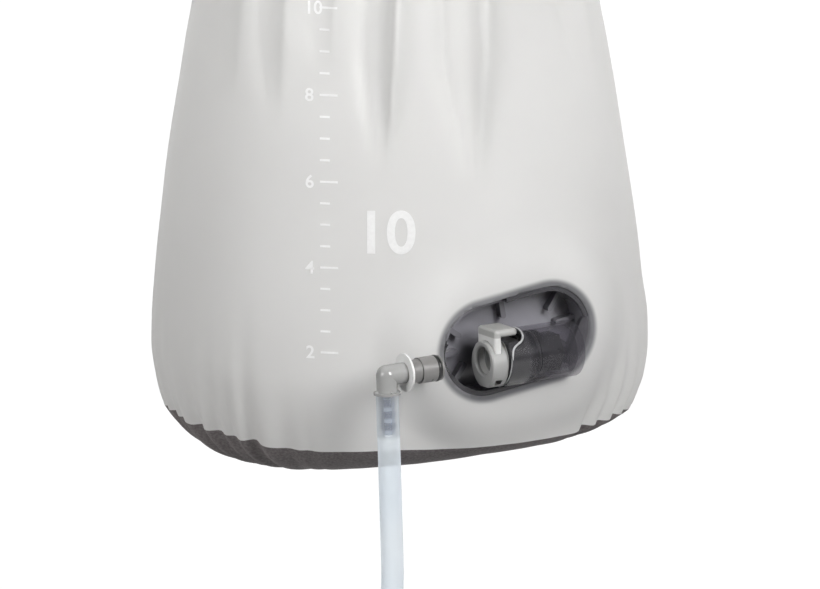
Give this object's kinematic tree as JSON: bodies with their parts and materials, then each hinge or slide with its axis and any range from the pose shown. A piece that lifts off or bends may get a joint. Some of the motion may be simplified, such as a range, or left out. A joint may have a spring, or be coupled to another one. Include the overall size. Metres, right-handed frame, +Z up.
{
  "type": "hanging water reservoir",
  "caption": "Hanging roll-top water bag in frosted coated fabric with a dark base, a moulded outlet port, a quick coupler with a thumb latch, and a clear hose on a swivelling elbow plug.",
  "frame": {"origin": "the hanging point, under the middle of the closed buckle at the top of the loop", "axes": "+Z up along the hanging bag, +X to the right of someone facing the port side, the port side faces -Y"},
  "size_m": [0.2188, 0.2157, 0.7794],
  "materials": {
    "bag_fabric": "frosted coated cloth",
    "base_fabric": "fine woven, dark",
    "stiffener": "satin",
    "webbing": "woven",
    "buckle_plastic": "fine texture",
    "smoky_plastic": "smoky, see-through in thin places",
    "coupler_plastic": "satin",
    "dark_plastic": "satin",
    "seal_rubber": "smooth",
    "latch_plastic": "satin",
    "spring_steel": "bright",
    "valve_plastic": "satin",
    "plug_plastic": "satin",
    "flange_plastic": "satin",
    "elbow_plastic": "milky",
    "clear_hose": "clear, slightly blue",
    "tie_strap": "woven"
  },
  "bodies": {
    "bag": {"bag_body": "bag_fabric", "base_panel": "base_fabric", "rolled_mouth": "bag_fabric", "stiffener_strip": "stiffener", "webbing_tab_left": "webbing", "webbing_tab_right": "webbing", "buckle_socket": "buckle_plastic", "buckle_plug": "buckle_plastic", "port_housing": "smoky_plastic", "coupler_collar": "coupler_plastic", "coupler_body": "dark_plastic", "coupler_tail": "dark_plastic", "coupler_seal": "seal_rubber", "latch_spring": "spring_steel", "valve_spring": "spring_steel"},
    "prong_front": {"buckle_prong_front": "buckle_plastic"},
    "prong_back": {"buckle_prong_back": "buckle_plastic"},
    "latch": {"thumb_latch": "latch_plastic"},
    "valve": {"valve_poppet": "valve_plastic", "valve_seal": "seal_rubber"},
    "plug": {"plug_insert": "plug_plastic", "plug_o_ring": "seal_rubber", "plug_flange": "flange_plastic"},
    "hose": {"elbow": "elbow_plastic", "hose_lead": "clear_hose", "hose_coil": "clear_hose", "hose_tail": "clear_hose", "coil_tie": "tie_strap", "hose_end_plug": "plug_plastic", "hose_end_o_ring": "seal_rubber"}
  },
  "joints": [
    {"name": "plug_slide", "type": "slide", "parent": "bag", "child": "plug", "axis": [0.8741, 0.4846, 0.0348], "range_m": [0, 0.0358]},
    {"name": "hose_swivel", "type": "hinge", "parent": "plug", "child": "hose", "pos_m": [-0.0052, -0.11722, -0.49048], "axis": [-0.8741, -0.4846, -0.0348], "range_deg": [0, 60]},
    {"name": "latch_press", "type": "slide", "parent": "bag", "child": "latch", "axis": [0.0304, 0.0169, -0.9994], "range_m": [0, 0.002], "stiffness_N_per_m": 900, "springref_m": -0.001, "deforming": ["latch_spring"]},
    {"name": "valve_lift", "type": "slide", "parent": "bag", "child": "valve", "axis": [0.8741, 0.4846, 0.0348], "range_m": [0, 0.0041], "deforming": ["valve_spring"]},
    {"name": "prong_squeeze_front", "type": "hinge", "parent": "bag", "child": "prong_front", "pos_m": [0.0077, -0.008, 0.0045], "axis": [0, 0, -1], "range_deg": [0, 7], "stiffness_Nm_per_rad": 0.5},
    {"name": "prong_squeeze_back", "type": "hinge", "parent": "bag", "child": "prong_back", "pos_m": [0.0077, 0.008, 0.0045], "axis": [0, 0, 1], "range_deg": [0, 7], "stiffness_Nm_per_rad": 0.5}
  ],
  "couplings": [
    {"joint": "valve_lift", "follows": "plug_slide", "ratio": 0.11173}
  ]
}
